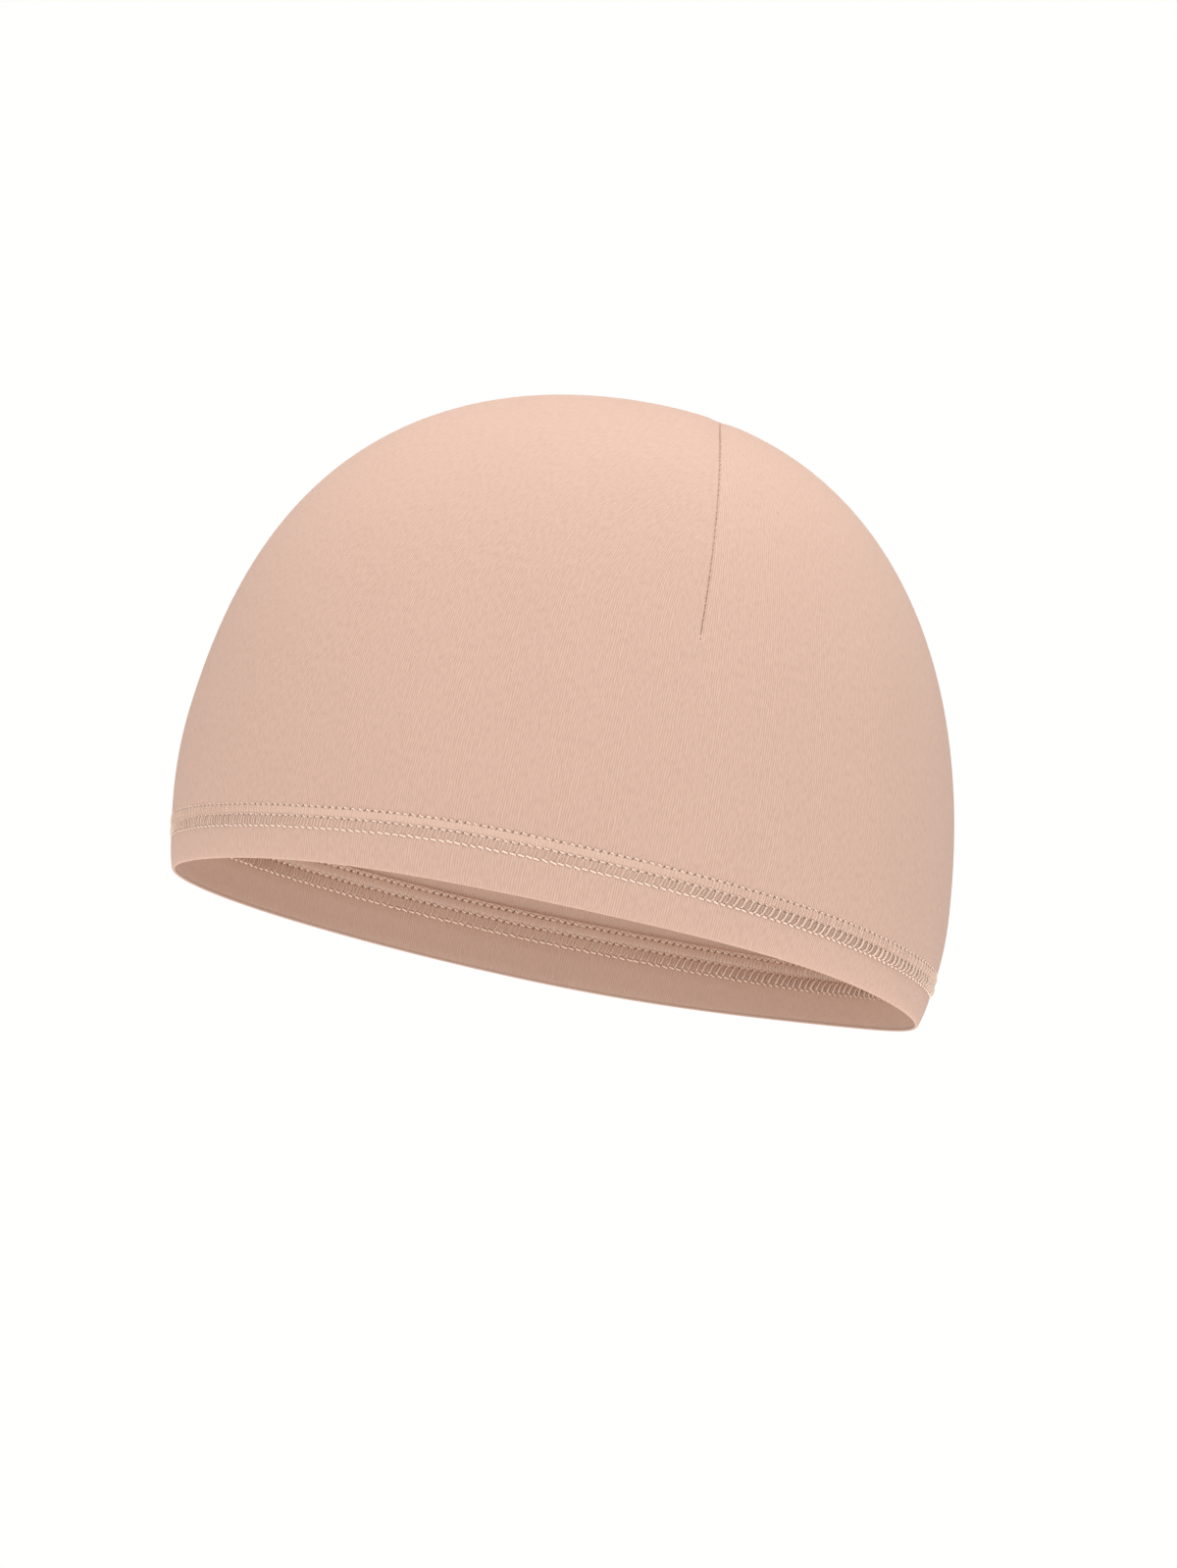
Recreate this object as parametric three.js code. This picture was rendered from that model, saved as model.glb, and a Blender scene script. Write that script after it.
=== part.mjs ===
// A close-fitting skull cap of smooth stretch knit, in the form that it has on a head.
// Lengths are in millimetres and angles in degrees. +Z is up, -Y the brow, +Y the nape, +X the wearer's left.
// The origin is the middle of the head opening.

import * as THREE from "three";

// Driving dimensions
const capLength = 202.4; // brow to nape, were the edge not drawn in
const capWidth = 159; // side to side, were the edge not drawn in
const domeHeight = 142.5; // opening to top, square to the opening
const openingTilt = 12; // how far the opening falls from the brow to the nape
const clothWall = 1.2; // the knit, a little thicker than the real one
const hemHeight = 15.6; // edge of the opening to the top of the hem
const hemWall = 2; // the cloth folded double
const hemGap = 0.3; // between the hem and the cloth above it
const dartHeight = 74; // opening to the lower ends of the dart
const dartDepth = 0.8; // how far the dart's crease is drawn in, at the top
const dartWidth = 5; // the crease from lip to lip

// The dome is drawn by three meridians, and every other one is a blend of them.
// reach is how far it stands out from the widest section, a share of the length or the width.
// fullness is the power that squares its shoulder: 2 is an ellipse, and more is fuller.
// tuck is how far its edge is drawn in, a share of the length or the width, and tuckTo is the share of the
// height where that has faded. taper narrows the oval's end at the edge, and fades by taperTo.
const MERIDIANS = {
  brow: { reach: 0.4875, fullness: 3.33, tuck: 0.0277, tuckTo: 0.29, taper: 0.15 },
  side: { reach: 0.5, fullness: 2.8, tuck: 0.0125, tuckTo: 0.21, taper: 0 },
  nape: { reach: 0.5125, fullness: 2.25, tuck: 0.0168, tuckTo: 0.2, taper: 0.12 },
};
const taperTo = 0.5; // share of the height
const topRoundness = 2.18; // the power that rounds the top: 2 is an ellipse
const topSetBack = 0.0225; // the top's place behind the widest section, a share of the length
const sideLift = 0.0078; // the edge's rise above the ears, a share of the height
const quarterLift = 0.0097; // its further rise behind the ears

// The dart runs up from above the ear and crosses the top. Its turn is counted round from the brow, and
// its crossing is a share of the way from the top down to the nape.
const dartTurn = 106.2;
const dartCrossing = 0.071;
const crossingFade = 4.3; // the power by which the rays' common point leaves the top

// Mesh
const raysPerSide = 32;
const crownRings = 19;
const hemRings = 4;
const foldSteps = 4;

const radians = THREE.MathUtils.degToRad;
const { brow, side, nape } = MERIDIANS;

// How much each meridian counts in the direction whose cosine from the brow is given
function blend(cosine) {
  const square = cosine * cosine;
  return { brow: (square * (1 + cosine)) / 2, side: 1 - square, nape: (square * (1 - cosine)) / 2 };
}

// A value of the three meridians, blended
function mixed(weights, value) {
  return weights.brow * value(brow) + weights.side * value(side) + weights.nape * value(nape);
}

// How far the edge's middle lies behind the widest section
const openingMiddle = ((nape.reach - nape.tuck - brow.reach + brow.tuck) * capLength) / 2;

// A point of the dome's outer surface, at a turn round from the brow and a share of the dome's height
function domePoint(turn, share) {
  const cosine = Math.cos(radians(turn));
  const sine = Math.sin(radians(turn));
  const weights = blend(cosine);
  const toBrow = (1 + cosine) / 2;
  const reach = (brow.reach * toBrow + nape.reach * (1 - toBrow)) * capLength;
  const narrowing = brow.taper * toBrow + nape.taper * (1 - toBrow);
  const taper = narrowing * Math.max(0, 1 - share / taperTo) ** 2;
  const back = -reach * cosine;
  const left = side.reach * capWidth * sine * (1 - taper * cosine ** 4);

  const fullness = mixed(weights, (row) => row.fullness);
  const size = Math.max(0, 1 - share ** fullness) ** (1 / topRoundness);
  const tuck =
    (weights.brow * brow.tuck + weights.nape * nape.tuck) * capLength + weights.side * side.tuck * capWidth;
  const tuckTo = mixed(weights, (row) => row.tuckTo);
  const drawnIn = (tuck * Math.max(0, 1 - share / tuckTo) ** 2) / Math.hypot(back, left);
  const lift = (weights.side * sideLift + 4 * weights.nape * (1 - cosine ** 2) * quarterLift) * (1 - share);

  const scale = size - drawnIn;
  return new THREE.Vector3(
    left * scale,
    back * scale + topSetBack * capLength * share ** 2 - openingMiddle,
    (share + lift) * domeHeight,
  );
}

// The rays of the mesh meet where the dart crosses the top, so that a ray runs along the dart. A ray starts
// at a turn round the edge, and its run goes from 0 at the crossing to 1 at the edge.
function rayPoint(turn, run) {
  const ahead = run * Math.cos(radians(turn)) - dartCrossing * (1 - run) ** crossingFade;
  const left = run * Math.sin(radians(turn));
  const share = Math.sin((1 - Math.min(1, Math.hypot(ahead, left))) * (Math.PI / 2));
  return domePoint(THREE.MathUtils.radToDeg(Math.atan2(left, ahead)), share);
}

// The run of a ray at a height above the edge, where the rays are still square to it
function runAt(height) {
  return 1 - Math.asin(Math.min(1, height / domeHeight)) / (Math.PI / 2);
}

// The surface's normal, pointing out, at a turn and a run that isn't 0
function outward(turn, run) {
  const step = 0.01;
  const along = rayPoint(turn + 1, run).sub(rayPoint(turn - 1, run));
  const down = rayPoint(turn, Math.min(1, run + step)).sub(rayPoint(turn, run - step));
  return down.cross(along).normalize();
}

// How far the dart draws the cloth in, at a turn and a run: most at the crossing, and nothing at its ends
const dartRun = runAt(dartHeight);
function crease(turn, run) {
  if (run >= dartRun) return 0;
  const aside = rayPoint(turn, run).distanceTo(rayPoint(turn < 0 ? -dartTurn : dartTurn, run));
  return dartDepth * Math.max(0, 1 - (2 * aside) / dartWidth) * Math.sqrt(1 - (run / dartRun) ** 2);
}

// Turns of the rays: even steps from the dart to the brow and to the nape, with a lip beside the dart
const lipTurn = THREE.MathUtils.radToDeg(dartWidth / (dartRun * capWidth));
function turnsOfHalf() {
  const ahead = Math.round((raysPerSide * dartTurn) / 180);
  const behind = raysPerSide - ahead;
  const half = [];
  for (let i = 0; i < ahead; i++) half.push((i * (dartTurn - lipTurn)) / (ahead - 1));
  half.push(dartTurn);
  for (let i = 0; i < behind; i++) half.push(dartTurn + lipTurn + (i * (180 - dartTurn - lipTurn)) / behind);
  return half;
}
const halfTurns = turnsOfHalf();
const turns = [...halfTurns, 180, ...halfTurns.slice(1).reverse().map((turn) => -turn)];

// A closed body from rows of points. Each row goes round the turns, and a row of one point is a pole.
// Seen from outside, each row lies below the one before it. The last row joins the first when looped.
function bodyOf(rows, looped) {
  const positions = [];
  const starts = [];
  for (const row of rows) {
    starts.push(positions.length / 3);
    for (const point of row) positions.push(point.x, point.y, point.z);
  }
  const corner = (row, place) => starts[row] + (rows[row].length === 1 ? 0 : place % turns.length);

  const faces = [];
  const joins = looped ? rows.length : rows.length - 1;
  for (let upper = 0; upper < joins; upper++) {
    const lower = (upper + 1) % rows.length;
    for (let j = 0; j < turns.length; j++) {
      if (rows[lower].length > 1) faces.push(corner(upper, j), corner(lower, j), corner(lower, j + 1));
      if (rows[upper].length > 1) faces.push(corner(upper, j), corner(lower, j + 1), corner(upper, j + 1));
    }
  }
  const geometry = new THREE.BufferGeometry();
  geometry.setAttribute("position", new THREE.Float32BufferAttribute(positions, 3));
  geometry.setIndex(faces);
  geometry.computeVertexNormals();
  return geometry;
}

// A row of points round the dome, a depth inside its outer surface
function rowAt(run, depth) {
  return turns.map((turn) => {
    const inward = -depth - crease(turn, run);
    return rayPoint(turn, run).addScaledVector(outward(turn, run), inward);
  });
}

// The point where the rays meet, a depth inside the outer surface
function poleAt(depth) {
  const beside = 0.02;
  const upward = outward(0, beside).add(outward(180, beside)).normalize();
  return rayPoint(0, 0).addScaledVector(upward, -depth - dartDepth);
}

// The crown: down the cloth's outer side from the crossing to the hem, then up its inner side
function crownGeometry() {
  const lowest = runAt(hemHeight + hemGap);
  const runs = [];
  for (let i = 1; i <= crownRings; i++) runs.push((lowest * i) / crownRings);
  const outer = runs.map((run) => rowAt(run, 0));
  const inner = runs.map((run) => rowAt(run, clothWall)).reverse();
  return bodyOf([[poleAt(0)], ...outer, ...inner, [poleAt(clothWall)]], false);
}

// The hem: down its outer face, round the fold and up its inner face
function hemGeometry() {
  const rows = [];
  const faceHeight = (i) => hemHeight - ((hemHeight - hemWall / 2) * i) / hemRings;
  for (let i = 0; i <= hemRings; i++) rows.push(rowAt(runAt(faceHeight(i)), 0));
  for (let i = 1; i < foldSteps; i++) {
    const angle = (Math.PI * i) / foldSteps;
    const height = (hemWall / 2) * (1 - Math.sin(angle));
    rows.push(rowAt(runAt(height), (hemWall / 2) * (1 - Math.cos(angle))));
  }
  for (let i = hemRings; i >= 0; i--) rows.push(rowAt(runAt(faceHeight(i)), hemWall));
  return bodyOf(rows, true);
}

function piece(name, geometry, colour, roughness) {
  const material = new THREE.MeshStandardMaterial({ color: colour, roughness, metalness: 0 });
  const mesh = new THREE.Mesh(geometry, material);
  mesh.name = name;
  return mesh;
}

const cap = new THREE.Group();
cap.add(piece("crown", crownGeometry(), 0xdcb9a3, 0.62));
cap.add(piece("hem_band", hemGeometry(), 0xd8b49e, 0.66));
cap.rotation.x = -radians(openingTilt);

export default cap;
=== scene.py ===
"""A close-fitting skull cap of smooth stretch knit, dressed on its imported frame.

Lengths are in metres and angles in radians. +Z is up, -Y the brow, +Y the nape and +X the wearer's left.
A turn goes round the cap from the brow. A run goes down the cloth, from 0 where the dart crosses the top
to 1 at the edge. A height is measured from the edge up, square to the opening.
"""

import logging
import math
from dataclasses import dataclass
from enum import Enum
from functools import reduce

import bpy
import numpy as np
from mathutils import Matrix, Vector


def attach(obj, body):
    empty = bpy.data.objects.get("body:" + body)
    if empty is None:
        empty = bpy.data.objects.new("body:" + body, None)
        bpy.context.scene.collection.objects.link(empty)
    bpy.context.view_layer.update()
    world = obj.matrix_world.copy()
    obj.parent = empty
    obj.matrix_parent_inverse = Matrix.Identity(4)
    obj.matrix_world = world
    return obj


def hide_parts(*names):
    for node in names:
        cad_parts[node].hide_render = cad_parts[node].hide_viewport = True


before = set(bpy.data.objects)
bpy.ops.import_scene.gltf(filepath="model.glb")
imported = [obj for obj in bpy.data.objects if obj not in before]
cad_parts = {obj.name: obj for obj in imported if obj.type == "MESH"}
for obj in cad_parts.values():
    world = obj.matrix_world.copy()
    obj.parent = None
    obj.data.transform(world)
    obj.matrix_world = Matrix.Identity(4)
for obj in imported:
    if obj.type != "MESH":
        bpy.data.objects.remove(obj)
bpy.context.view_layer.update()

MM = 0.001
BODY = "root"
FINE_TURNS = 2881
FINE_RUNS = 2001
LOG = logging.getLogger("skull_cap")

Array = np.ndarray
Colour = tuple[float, float, float]
Piece = bpy.types.Object
Socket = bpy.types.NodeSocket


class Face(Enum):
    """The two faces of the cloth."""

    OUTSIDE = "outside"
    INSIDE = "inside"


def bell(distance: Array, width: float) -> Array:
    """A smooth bump of height 1 at distance 0, which is 0.37 at its width.

    Args:
        distance: how far each point lies from the middle.
        width: the bump's half width, in the same unit.

    Returns:
        The bump's height at each distance.
    """
    return np.exp(-((distance / width) ** 2))


def ramp(low: float, high: float, value: Array) -> Array:
    """A smooth step from 0 at low to 1 at high.

    Args:
        low: where the step starts.
        high: where it ends, above or below low.
        value: the places asked for.

    Returns:
        The step's height at each place.
    """
    share = np.clip((value - low) / (high - low), 0, 1)
    return share * share * (3 - 2 * share)


def unit(vectors: Array) -> Array:
    """Vectors brought to length 1."""
    return vectors / np.maximum(np.linalg.norm(vectors, axis=-1, keepdims=True), 1e-12)


def step_lengths(line: Array) -> Array:
    """The lengths of the steps between a line's points."""
    return np.linalg.norm(np.diff(line, axis=0), axis=1)


def travelled(line: Array) -> Array:
    """How far each point of a line lies along it from its first."""
    return np.concatenate([[0], np.cumsum(step_lengths(line))])


def points_along(line: Array, at: Array) -> Array:
    """Points at distances along a line.

    Args:
        line: the line's own points.
        at: the distances from its first.

    Returns:
        A point for each distance.
    """
    way = travelled(line)
    return np.stack([np.interp(at, way, line[:, axis]) for axis in range(3)], axis=-1)


@dataclass(frozen=True)
class Meridian:
    """One of the three meridians that the dome is blended from.

    reach is how far it stands out from the widest section, a share of the length or the width. fullness squares
    its shoulder. tuck is how far its edge is drawn in, and fades by tuck_to, a share of the height. taper
    narrows the oval's end at the edge.
    """

    reach: float
    fullness: float
    tuck: float
    tuck_to: float
    taper: float


@dataclass(frozen=True)
class Dart:
    """The dart's seam, from above one ear, across the top, to above the other.

    Its crossing lies behind the top by a share of the way down to the nape, and fade is the power by which
    the rays' common point leaves the top.
    """

    turn: float = math.radians(106.2)
    height: float = 74 * MM
    crossing: float = 0.071
    fade: float = 4.3


@dataclass(frozen=True)
class Dome:
    """The smooth form of the cap's outer face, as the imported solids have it."""

    length: float = 202.4 * MM
    width: float = 159 * MM
    height: float = 142.5 * MM
    tilt: float = math.radians(12)
    brow: Meridian = Meridian(reach=0.4875, fullness=3.33, tuck=0.0277, tuck_to=0.29, taper=0.15)
    side: Meridian = Meridian(reach=0.5, fullness=2.8, tuck=0.0125, tuck_to=0.21, taper=0.0)
    nape: Meridian = Meridian(reach=0.5125, fullness=2.25, tuck=0.0168, tuck_to=0.2, taper=0.12)
    taper_to: float = 0.5
    top_roundness: float = 2.18
    top_set_back: float = 0.0225
    side_lift: float = 0.0078
    quarter_lift: float = 0.0097
    dart: Dart = Dart()

    def point(self, turn: Array, share: Array) -> Array:
        """Points of the outer face.

        Args:
            turn: the turns round from the brow.
            share: the shares of the dome's height.

        Returns:
            The points, in the row frame, with x, y and z on the last axis.
        """
        brow, side, nape = self.brow, self.side, self.nape
        cosine = np.cos(turn)
        square = cosine**2
        at_brow = square * (1 + cosine) / 2
        at_nape = square * (1 - cosine) / 2
        at_side = 1 - square
        to_brow = (1 + cosine) / 2

        reach = (brow.reach * to_brow + nape.reach * (1 - to_brow)) * self.length
        narrowing = brow.taper * to_brow + nape.taper * (1 - to_brow)
        taper = narrowing * np.clip(1 - share / self.taper_to, 0, 1) ** 2
        back = -reach * cosine
        left = side.reach * self.width * np.sin(turn) * (1 - taper * cosine**4)

        fullness = at_brow * brow.fullness + at_side * side.fullness + at_nape * nape.fullness
        size = np.clip(1 - share**fullness, 0, None) ** (1 / self.top_roundness)
        tuck = (at_brow * brow.tuck + at_nape * nape.tuck) * self.length + at_side * side.tuck * self.width
        tuck_to = at_brow * brow.tuck_to + at_side * side.tuck_to + at_nape * nape.tuck_to
        drawn_in = tuck * np.clip(1 - share / tuck_to, 0, None) ** 2 / np.hypot(back, left)
        lift = (at_side * self.side_lift + 4 * at_nape * (1 - square) * self.quarter_lift) * (1 - share)

        scale = size - drawn_in
        middle = (nape.reach - nape.tuck - brow.reach + brow.tuck) * self.length / 2
        behind = back * scale + self.top_set_back * self.length * share**2 - middle
        above = (share + lift) * self.height
        y = behind * math.cos(self.tilt) + above * math.sin(self.tilt)
        z = above * math.cos(self.tilt) - behind * math.sin(self.tilt)
        return np.stack([left * scale, y, z], axis=-1)

    def on_disc(self, ahead: Array, left: Array) -> Array:
        """Points of the outer face, from a flat disc whose middle is the top and whose rim is the edge."""
        share = np.sin((1 - np.clip(np.hypot(ahead, left), 0, 1)) * (math.pi / 2))
        return self.point(np.arctan2(left, ahead), share)

    def disc_place(self, turn: Array, run: Array) -> tuple[Array, Array]:
        """The places on the disc of turns and runs.

        Args:
            turn: the turns round from the brow.
            run: the runs down from the crossing.

        Returns:
            How far ahead of the disc's middle they lie, and how far to its left.
        """
        run = np.asarray(run, float)
        ahead = run * np.cos(turn) - self.dart.crossing * (1 - run) ** self.dart.fade
        return ahead, run * np.sin(turn)

    def ray_point(self, turn: Array, run: Array) -> Array:
        """Points of the outer face on the rays that meet where the dart crosses the top."""
        return self.on_disc(*self.disc_place(turn, run))

    def outward(self, turn: Array, run: Array) -> Array:
        """The outer face's normals.

        Args:
            turn: the turns round from the brow.
            run: the runs down from the crossing.

        Returns:
            Vectors of length 1 that point out of the cap.
        """
        step = 0.004
        ahead, left = self.disc_place(turn, run)
        size = np.maximum(np.hypot(ahead, left) / (1 - step), 1)
        ahead, left = ahead / size, left / size
        forward = self.on_disc(ahead + step, left) - self.on_disc(ahead - step, left)
        sideways = self.on_disc(ahead, left + step) - self.on_disc(ahead, left - step)
        return unit(np.cross(forward, sideways))

    def run_at(self, height: float | Array) -> Array:
        """The run at a height above the edge, near the edge, where the rays are square to it."""
        return 1 - np.arcsin(np.clip(np.asarray(height) / self.height, 0, 1)) / (math.pi / 2)

    @property
    def dart_run(self) -> float:
        """The run of the dart's lower ends."""
        return float(self.run_at(self.dart.height))

    def line_round(self, height: float) -> tuple[Array, Array]:
        """Fine turns round the whole cap, and the outer face's points there at a height above the edge."""
        turns = np.linspace(0, math.tau, FINE_TURNS)
        return turns, self.ray_point(turns, self.run_at(height) + 0 * turns)

    def even_turns(self, count: int, height: float) -> Array:
        """Turns that part the girth at a height into even steps.

        Args:
            count: how many steps.
            height: the girth's height above the edge.

        Returns:
            The turns, from 0 and short of a full turn.
        """
        fine, line = self.line_round(height)
        along = travelled(line)
        return np.interp(np.arange(count) * along[-1] / count, along, fine)

    def girth(self, height: float) -> float:
        """The way round the cap at a height above the edge."""
        return float(step_lengths(self.line_round(height)[1]).sum())


@dataclass(frozen=True)
class RowLine:
    """How the needle rows run round one face: highest at a turn, and lower toward the brow and the nape.

    rise lifts them all, each fall is how far they drop toward an end, over is the turn in which most of a drop
    happens, and spread is how much further apart they lie than the levels say.
    """

    rise: float
    highest: float
    brow_fall: float
    brow_over: float
    nape_fall: float
    nape_over: float
    spread: float

    def offset(self, turn: Array) -> Array:
        """How far the lowest row lies above its level.

        Args:
            turn: the turns round from the brow.

        Returns:
            The height to add at each turn.
        """
        beyond = np.arccos(np.cos(turn)) - self.highest
        brow = self.brow_fall * (1 - bell(beyond, self.brow_over))
        nape = self.nape_fall * (1 - bell(beyond, self.nape_over))
        return self.rise - np.where(beyond < 0, brow, nape)


@dataclass(frozen=True)
class HemSizes:
    """Sizes of the folded hem and of the three needle rows that hold it.

    A level counts with the needle rows where they rise and fall round the cap. Below plain_to it is the height
    itself, and from counted_from up it goes wholly with the rows.
    """

    height: float = 15.6 * MM
    cloth: float = 0.42 * MM
    layer_gap: float = 0.04 * MM
    raw_edge: float = 15.75 * MM
    rows: tuple[float, float, float] = (9.8 * MM, 12.6 * MM, 15.2 * MM)
    outer_line: RowLine = RowLine(
        0, math.radians(83), 1.9 * MM, math.radians(22), 1.7 * MM, math.radians(50), 0
    )
    inner_line: RowLine = RowLine(1.2 * MM, math.radians(95), 0, 1, 2.6 * MM, math.radians(32), 0.24)
    pitch: float = 2.0 * MM
    row_dip: float = 0.13 * MM
    dip_width: float = 0.42 * MM
    band_puff: float = 0.14 * MM
    band_swell: tuple[float, float] = (2.5 * MM, 2.2 * MM)
    strip_puff: float = 0.10 * MM
    strip_width: float = 1 * MM
    plain_to: float = 1.5 * MM
    counted_from: float = 6 * MM

    @property
    def wall(self) -> float:
        """The hem's whole thickness."""
        return 2 * self.cloth + self.layer_gap

    def line(self, face: Face) -> RowLine:
        """How the rows run on a face."""
        return self.outer_line if face is Face.OUTSIDE else self.inner_line

    def above(self, turn: Array, level: Array | float, face: Face) -> Array:
        """The height above the edge of a level among the needle rows.

        Args:
            turn: the turns round from the brow.
            level: the levels, as the rows count them.
            face: which face of the hem.

        Returns:
            The heights.
        """
        line = self.line(face)
        return level + line.offset(turn) + line.spread * (level - self.rows[0])

    def level(self, turn: Array, height: Array, face: Face) -> Array:
        """The level of points at a height: the height itself at the edge, and the rows' count above it.

        Args:
            turn: the turns round from the brow.
            height: the points' heights.
            face: which face of the hem.

        Returns:
            The levels.
        """
        line = self.line(face)
        counted = (height - line.offset(turn) + line.spread * self.rows[0]) / (1 + line.spread)
        return height + (counted - height) * ramp(self.plain_to, self.counted_from, height)

    def relief(self, level: Array) -> Array:
        """How far the cloth of either face stands out.

        Args:
            level: the levels asked for, counted with the rows.

        Returns:
            The relief, out of the cloth, less than 0 where a needle row draws it in.
        """
        dips = sum(bell(level - row, self.dip_width) for row in self.rows)
        from_edge, to_row = self.band_swell
        puff = ramp(0, from_edge, level) * ramp(self.rows[0], self.rows[0] - to_row, level)
        strip = bell(level - (self.rows[1] + self.rows[2]) / 2, self.strip_width)
        return self.band_puff * puff + self.strip_puff * strip - self.row_dip * dips


class ClothMesh:
    """A closed body of thin cloth, made of rows of points that go round the cap."""

    def __init__(self, name: str) -> None:
        """Starts an empty body.

        Args:
            name: the name that its piece gets.
        """
        self.name = name
        self.rows: list[Array] = []
        self.maps: list[tuple[Array, Array]] = []

    def add(self, points: Array, ahead: Array, behind: Array) -> None:
        """Adds a row.

        Args:
            points: one point for each column, or a single one for a pole.
            ahead: the map's place at each column and at the end, for the faces that start there.
            behind: the same for the faces that end there, which differs where a seam cuts the grain.
        """
        self.rows.append(points)
        self.maps.append((ahead, behind))

    def build(self, looped: bool, map_name: str) -> Piece:
        """Joins the rows into one mesh.

        Args:
            looped: whether the last row joins the first.
            map_name: the UV map's name.

        Returns:
            The piece, at the origin.
        """
        columns = max(len(row) for row in self.rows)
        starts = np.concatenate([[0], np.cumsum([len(row) for row in self.rows])])
        faces: list[tuple[int, ...]] = []
        places: list[Array] = []
        pairs = len(self.rows) if looped else len(self.rows) - 1
        column = np.arange(columns)
        following = (column + 1) % columns
        for upper in range(pairs):
            lower = (upper + 1) % len(self.rows)
            poles = len(self.rows[upper]) == 1, len(self.rows[lower]) == 1
            first = [0 * column if pole else column for pole in poles]
            second = [0 * column if pole else following for pole in poles]
            ring = [
                (starts[upper] + first[0], self.maps[upper][0][:-1]),
                (starts[lower] + first[1], self.maps[lower][0][:-1]),
                (starts[lower] + second[1], self.maps[lower][1][1:]),
                (starts[upper] + second[0], self.maps[upper][1][1:]),
            ]
            if poles[0]:
                ring.pop(3)
            if poles[1]:
                ring.pop(2)
            faces += list(map(tuple, np.stack([corner for corner, _ in ring], axis=1).tolist()))
            places.append(np.stack([place for _, place in ring], axis=1).reshape(-1, 2))
        mesh = bpy.data.meshes.new(self.name)
        mesh.from_pydata(np.concatenate(self.rows).tolist(), [], faces)
        corner_map(mesh, map_name, np.concatenate(places))
        return finished(mesh)


def corner_map(mesh: bpy.types.Mesh, name: str, values: Array) -> None:
    """Adds a UV map.

    Args:
        mesh: the mesh.
        name: the map's name.
        values: its place at each of the mesh's face corners.
    """
    layer = mesh.uv_layers.new(name=name)
    layer.uv.foreach_set("vector", values.astype(np.float32).ravel())


def corner_points(mesh: bpy.types.Mesh) -> Array:
    """The points that a mesh's face corners lie on.

    Args:
        mesh: the mesh.

    Returns:
        Each corner's point, by number.
    """
    points = np.zeros(len(mesh.loops), np.int32)
    mesh.loops.foreach_get("vertex_index", points)
    return points


def finished(mesh: bpy.types.Mesh, sharp_from: float = 75) -> Piece:
    """Smooths a mesh and links it as a piece at the origin.

    Args:
        mesh: the mesh, whose name the piece takes.
        sharp_from: the angle between faces, in degrees, from which an edge stays sharp.

    Returns:
        The piece.
    """
    mesh.update()
    mesh.polygons.foreach_set("use_smooth", [True] * len(mesh.polygons))
    mesh.set_sharp_from_angle(angle=math.radians(sharp_from))
    piece = bpy.data.objects.new(mesh.name, mesh)
    bpy.context.scene.collection.objects.link(piece)
    return piece


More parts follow.
